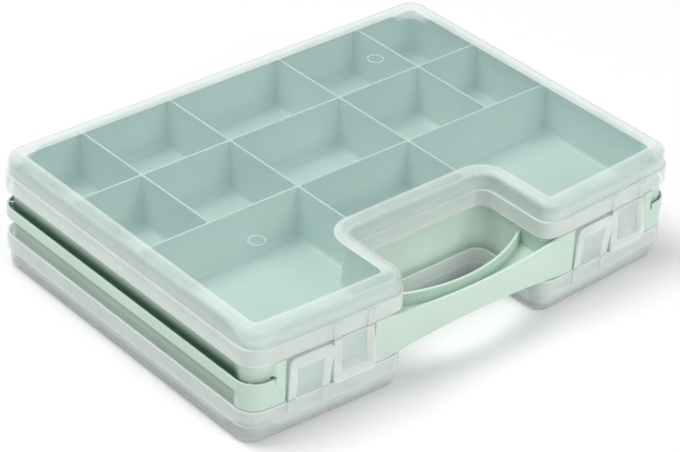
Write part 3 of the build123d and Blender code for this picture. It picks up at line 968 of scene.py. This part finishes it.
def latch_tongue(x, root_z):
    """The tongue of an upper latch at x, rooted at root_z, with the bead at its root and its catch."""
    s = latch_sizes()
    wall = lid_sizes().wall
    tip_z = 2 * MIDDLE_Z - lid_low.z + s.tip_gap
    solid = Solid()
    grid, milk = latch_grid(root_z, tip_z)
    solid.add_tube(on_front(grid, x), milk)
    across, up = round_section(s.root_radius, s.root_radius, s.root_radius - 0.01 * MM, 6)
    bead = bar(s.width, wall - s.thickness / 2 + across, root_z + up)
    solid.add_tube(on_front(bead, x), SOLID_HAZE)
    # The catch is a wedge from the tongue's inner face at its own height, upright above and sloped below
    lean = (root_z - MIDDLE_Z + 6 * MM) / (root_z - tip_z - s.knee)
    root_y = wall - s.thickness
    inner_y = root_y - (s.reach + root_y) * lean + s.thickness - 0.4 * MM
    top = MIDDLE_Z - s.catch_drop
    y = np.array([inner_y, s.catch_reach, s.catch_reach, inner_y])
    z = np.array([top, top, top - s.catch_face, top - s.catch_height])
    solid.add_tube(on_front(bar(s.catch_width, y, z), x), SOLID_HAZE)
    return solid


def latch_ribs(x):
    """The two ribs that carry the borders of an upper latch at x up the flange.

    They stand proud of it by p sqrt(1 - 0.96 t^2), t from 0 at the flange's lower edge to 1 below its top.
    """
    s = latch_sizes()
    low = lid_low.z + 0.05 * MM
    high = lid_low.z + lid_sizes().flange_height - 1 * MM
    z = np.linspace(low, high, 12)
    proud = (s.thickness - lid_sizes().wall) * np.sqrt(1 - 0.96 * ((z - low) / (high - low)) ** 2)
    across, up = round_section(s.border / 2 + 0.3 * MM, proud, 0.28 * MM, 4)
    solid = Solid()
    for side in (-1, 1):
        offset = side * (s.width - s.border) / 2
        solid.add_tube(on_front(stack(across + offset, up, z[:, None]), x), SOLID_HAZE)
    return solid


class CASE_OT_latches(bpy.types.Operator):
    """Build the four latch tongues, their catches and the ribs that carry them up the flanges"""

    bl_idname = "case.latches"
    bl_label = "Latches"
    bl_options = {"REGISTER", "UNDO"}

    def execute(self, context):
        turned = {"top_latch_left": "bottom_latch_right", "top_latch_right": "bottom_latch_left"}
        s = latch_sizes()
        half = (s.width + s.pair_gap) / 2
        middle = (HALF_WIDTH + plan().notch_width / 2) / 2
        for joint in frame["joints"]:
            above = joint["child"]
            if above not in turned:
                continue
            below = turned[above]
            x = middle + half if joint["pos_m"][0] > 0 else half - middle
            tongue = latch_tongue(x, joint["pos_m"][2])
            ribs = latch_ribs(x)
            tongue.build(f"{above}_tongue", above, CLEAR, [above])
            ribs.build(f"{above}_ribs", "top_lid", CLEAR)
            tongue.turned_over().build(f"{below}_tongue", below, CLEAR, [below])
            ribs.turned_over().build(f"{below}_ribs", "bottom_lid", CLEAR)
        return {"FINISHED"}


def corner_path(pocket_x):
    """Plan line at the flange from the right latch pocket along the bow, round the corner, up the side.

    Returns the points, the inward normals and the length run from the pocket's edge at each point.
    """
    corner, bow = plan().corner_radius, bow_radius()
    bow_y = FRONT_Y + bow
    centre_x = HALF_WIDTH - corner
    centre_y = bow_y - math.sqrt((bow - corner) ** 2 - centre_x**2)
    start = -math.acos(pocket_x / bow)
    turn = math.atan2(centre_y - bow_y, centre_x)
    front = start + (turn - start) * np.linspace(0, 1, 40)[:-1]
    bend = turn * (1 - np.linspace(0, 1, 50)[:-1])
    side = np.linspace(0, PLATE_SIDE_RUN, 40)
    points = [stack(bow * np.cos(front), bow_y + bow * np.sin(front))]
    points += [stack(centre_x + corner * np.cos(bend), centre_y + corner * np.sin(bend))]
    points = np.concatenate([*points, stack(HALF_WIDTH, centre_y + side)])
    turns = np.concatenate([front, bend, 0 * side])
    inward = -stack(np.cos(turns), np.sin(turns))
    run = np.concatenate([[0], np.cumsum(np.hypot(*np.diff(points, axis=0).T))])
    return points, inward, run


def plate_grid(pocket_x):
    """The right outer plate as lines of constant height that run round the corner, and their painted shade.

    Above the belt its face falls back behind the belt's rim by a smooth step past the slit's end, and
    then to the wall along the side. Below the belt it stays flush round the corner and then falls back
    to the wall. A dimple at the slit's end and small quarter arcs at its edges finish it, and two lines
    in the wall close it behind. The painted shade is darkest in the channel beside the belt.
    """
    s = tray_sizes()
    points, inward, run = corner_path(pocket_x)
    past_slit, past_corner = run - s.plate_end, run - run[-1] + PLATE_SIDE_RUN
    low, high = plate_low.z, plate_high.z
    soft = 0.5 * MM
    edge = soft * (1 - np.cos(np.linspace(0, QUARTER, 5)))
    levels = np.linspace(low + 2 * soft, high - 2 * soft, 90)
    z = np.concatenate([low + edge, levels, high - edge[::-1]])[:, None]
    face, wall = -s.belt_reach, s.wall_inset + 0.1 * MM
    behind = face + s.plate_depth * smooth_step((past_slit + 1.5 * MM) / (4.5 * MM))
    along = smooth_step((past_corner + 0.5 * s.plate_slope) / (1.4 * s.plate_slope))
    upper = behind + (wall - behind) * along
    flush = face + 0.35 * MM * smooth_step(past_slit / (8 * MM))
    along = smooth_step((past_corner + 0.2 * s.plate_slope) / s.plate_slope)
    lower = flush + (wall - flush) * along
    share = smooth_step((z - MIDDLE_Z + 0.5 * MM) / (1 * MM))
    inset = lower + (upper - lower) * share
    slit_z = MIDDLE_Z + s.belt_height / 2 + 0.2 * MM
    hole = 1 - np.hypot(past_slit - 0.6 * MM, z - slit_z) / s.hole_radius
    rim = np.minimum(np.minimum(z - low, high - z), run)
    inset = inset + s.hole_depth * smooth_step(2 * hole) + rolled(soft, rim)
    back = np.full((2, len(run)), s.wall_inset + SEAT)
    inset = np.concatenate([np.minimum(inset, wall), back])
    z = np.concatenate([z, [[high], [low]]])
    # Painted shade, darkest in the channel beside the belt
    painted_shade = smooth_step((inset - 1 * MM) / (s.wall_inset - 1 * MM)) * channel_depth(z)
    return lifted(points + inward * inset[..., None], z), painted_shade


def inner_plate_grid(pocket_x, end_x):
    """The right inner plate: a block between two bow arcs, its outer edges rolled over by quarter arcs."""
    s = tray_sizes()
    height = plate_high.z - plate_low.z
    section = round_section((s.wall_inset + s.belt_reach) / 2, height / 2, 0.45 * MM)
    return stand_on_bow(np.linspace(end_x, pocket_x, 14), (s.wall_inset - s.belt_reach) / 2, section)


def moulded_copy(name, body, slot):
    """A copy of a node's solid with its doubles merged and its edges broken by a small radius."""
    mesh = frame["nodes"][name].data.copy()
    mesh.name = f"{name}_moulded"
    work = bmesh.new()
    work.from_mesh(mesh)
    bmesh.ops.remove_doubles(work, verts=work.verts, dist=0.001 * MM)
    bmesh.ops.dissolve_limit(work, angle_limit=math.radians(1), verts=work.verts, edges=work.edges)
    work.to_mesh(mesh)
    work.free()
    milk = np.full(len(mesh.vertices), SOLID_HAZE if slot == CLEAR else 0.0)
    piece = finish_piece(mesh, milk, mesh.name, body, slot, [name], sharp=40)
    edges = piece.modifiers.new("moulded_edges", "BEVEL")
    edges.width = 0.3 * MM
    edges.segments = 2
    edges.limit_method = "ANGLE"
    edges.angle_limit = math.radians(40)
    piece.modifiers.move(1, 0)


class CASE_OT_fittings(bpy.types.Operator):
    """Finish the front plates, catch bosses, hinge arms and hinge knuckles"""

    bl_idname = "case.fittings"
    bl_label = "Plates and hinges"
    bl_options = {"REGISTER", "UNDO"}

    def execute(self, context):
        s = latch_sizes()
        pair_x = (HALF_WIDTH + plan().notch_width / 2) / 2
        pocket = s.width + s.pair_gap / 2 + s.pocket_gap
        handle_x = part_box("handle_outer_wall")[1].x + tray_sizes().handle_flare - 1 * MM
        outer, painted_shade = plate_grid(pair_x + pocket)
        inner = inner_plate_grid(pair_x - pocket, handle_x)
        for side, name in ((1, "front_plates_right"), (-1, "front_plates_left")):
            solid = Solid()
            solid.add_tube(np.swapaxes(outer, 0, 1) * (side, 1, 1), painted_shade.T)
            solid.add_tube(inner * (side, 1, 1))
            solid.build(f"{name}_moulded", "case", GREEN, [name])
        for name in ("latch_bosses", "hinge_arms"):
            moulded_copy(name, "case", GREEN)
        for lid in ("top_lid", "bottom_lid"):
            moulded_copy(f"{lid}_knuckles", lid, CLEAR)
        return {"FINISHED"}


def floor_paper():
    """Matt white studio paper. The eye gets a white ground, darkened by the object's shadow and by painted
    shade round the case.

    Towards the camera a share of plain white is added, so that the paper shows white as in a studio. The
    share grows from a tenth under the case to a half 50 mm outside it: painted shade round the case that
    deepens its contact shadow.
    """
    material, add, place = new_material("studio_paper")
    tooth = add("TexNoise", {"Scale": 1 / (1.5 * MM), "Detail": 2.0}, {"Vector": place})
    bump = add("Bump", {"Strength": 0.05, "Distance": 0.05 * MM}, {"Height": tooth})
    settings = {"Base Color": (*bpy.context.scene.case_colours.floor, 1), "Roughness": 0.9}
    paper = add("BsdfPrincipled", settings, {"Normal": bump})
    white = add("Emission", {"Color": (1, 1, 1, 1), "Strength": 1.0})
    away = add("VectorMath", {"operation": "ABSOLUTE"}, {0: place})
    half_case = (HALF_WIDTH, CASE_DEPTH / 2, 0)
    for operation, value in (("SUBTRACT", half_case), ("MAXIMUM", (0, 0, 0))):
        away = add("VectorMath", {"operation": operation, 1: value}, {0: away})
    distance = add("VectorMath", {"operation": "LENGTH"}, {0: away}).outputs["Value"]
    # Painted shade: less plain white near the case darkens the paper round it
    share = add("MapRange", {"From Max": 50 * MM, "To Min": 0.1, "To Max": 0.5}, {"Value": distance})
    seen = add("LightPath").outputs["Is Camera Ray"]
    share = add("Math", {"operation": "MULTIPLY"}, {0: seen, 1: share})
    mix = add("MixShader", links={0: share, 1: paper, 2: white})
    add("OutputMaterial", links={"Surface": mix})
    return material


def add_camera():
    """A camera at the photograph's place: it looks along the fitted direction, rolled a little."""
    level = math.cos(VIEW_DOWN)
    ahead = Vector((math.sin(VIEW_AZIMUTH) * level, math.cos(VIEW_AZIMUTH) * level, -math.sin(VIEW_DOWN)))
    right = ahead.cross(Vector((0, 0, 1))).normalized()
    up = right.cross(ahead)
    cosine, sine = math.cos(VIEW_ROLL), math.sin(VIEW_ROLL)
    right, up = right * cosine + up * sine, up * cosine - right * sine
    middle = Vector((0, BACK_Y - CASE_DEPTH / 2, 0))
    place = middle - ahead * VIEW_DISTANCE + right * VIEW_RIGHT + up * VIEW_UP
    data = bpy.data.cameras.new("photo_camera")
    data.sensor_width = SENSOR_WIDTH_MM
    data.lens = FOCAL_LENGTH_MM
    data.clip_start = 0.05
    data.clip_end = 50.0
    camera = new_object("photo_camera", data)
    rotation = Matrix((right, up, -ahead)).transposed().to_4x4()
    camera.matrix_world = Matrix.Translation(place) @ rotation
    bpy.context.scene.camera = camera


def add_softbox(name, place, width, power):
    """A square area lamp that points at the case."""
    data = bpy.data.lights.new(name, "AREA")
    data.shape = "SQUARE"
    data.size = width
    data.energy = power
    lamp = new_object(name, data)
    lamp.location = place
    lamp.rotation_euler = (Vector((0, 0, MIDDLE_Z)) - Vector(place)).to_track_quat("-Z", "Y").to_euler()


class CASE_OT_stage(bpy.types.Operator):
    """Set up the studio floor, the lamps, the white surroundings and the camera"""

    bl_idname = "case.stage"
    bl_label = "Studio"
    bl_options = {"REGISTER", "UNDO"}

    def execute(self, context):
        half = 4.0
        ends = [(-half, -half, 0), (half, -half, 0), (half, half, 0), (-half, half, 0)]
        mesh = bpy.data.meshes.new("studio_floor")
        mesh.from_pydata(ends, [], [(0, 1, 2, 3)])
        mesh.materials.append(floor_paper())
        new_object("studio_floor", mesh)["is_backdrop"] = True
        add_softbox("softbox_above", (-0.5, 0.48, 1.65), 1.0, 22.5)
        add_softbox("softbox_front", (0.2, -1.8, 1.2), 1.0, 19.0)
        world = bpy.data.worlds.new("studio_white")
        world.use_nodes = True
        world.node_tree.nodes.clear()
        add = partial(node, world.node_tree)
        rays = add("LightPath").outputs
        seen = rays["Is Camera Ray"]
        for kind in ("Is Glossy Ray", "Is Transmission Ray"):
            seen = add("Math", {"operation": "MAXIMUM"}, {0: seen, 1: rays[kind]})
        light = add("Background", {"Color": (1, 1, 1, 1), "Strength": 0.39})
        white = add("Background", {"Color": (1, 1, 1, 1), "Strength": 1.0})
        mix = add("MixShader", links={0: seen, 1: light, 2: white})
        add("OutputWorld", links={"Surface": mix})
        context.scene.world = world
        context.scene.view_settings.view_transform = "Standard"
        add_camera()
        return {"FINISHED"}


class CASE_PT_panel(bpy.types.Panel):
    """Lists the case's pieces and sizes in the 3D view's sidebar"""

    bl_idname = "CASE_PT_panel"
    bl_label = "Organiser Case"
    bl_space_type = "VIEW_3D"
    bl_region_type = "UI"
    bl_category = "Case"

    def draw(self, context):
        layout = self.layout
        for operator in OPERATORS:
            layout.operator(operator.bl_idname)
        for name in GROUPS:
            group = getattr(context.scene, name)
            box = layout.box()
            for key in group.bl_rna.properties.keys():
                if key not in ("rna_type", "name"):
                    box.prop(group, key)


GROUPS = {
    "case_plan": CasePlanSizes,
    "case_lid": LidSizes,
    "case_tray": TraySizes,
    "case_latch": LatchSizes,
    "case_colours": CaseColours,
}
OPERATORS = (
    CASE_OT_tray,
    CASE_OT_belt,
    CASE_OT_handle,
    CASE_OT_lids,
    CASE_OT_latches,
    CASE_OT_fittings,
    CASE_OT_stage,
)


def register():
    for name, group in GROUPS.items():
        bpy.utils.register_class(group)
        setattr(bpy.types.Scene, name, bpy.props.PointerProperty(type=group))
    for item in (*OPERATORS, CASE_PT_panel):
        bpy.utils.register_class(item)


def unregister():
    for item in reversed((*OPERATORS, CASE_PT_panel)):
        bpy.utils.unregister_class(item)
    for name, group in GROUPS.items():
        delattr(bpy.types.Scene, name)
        bpy.utils.unregister_class(group)


def corners(box):
    """A box's two corners as plain lists."""
    return [[float(v) for v in corner] for corner in box]


def main():
    cad_box = corners(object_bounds())
    register()
    bpy.ops.case.tray()
    bpy.ops.case.belt()
    bpy.ops.case.handle()
    bpy.ops.case.lids()
    bpy.ops.case.latches()
    bpy.ops.case.fittings()
    bpy.ops.case.stage()
    {"cad": cad_box, "visual": corners(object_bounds())}


if __name__ == "__main__":
    main()
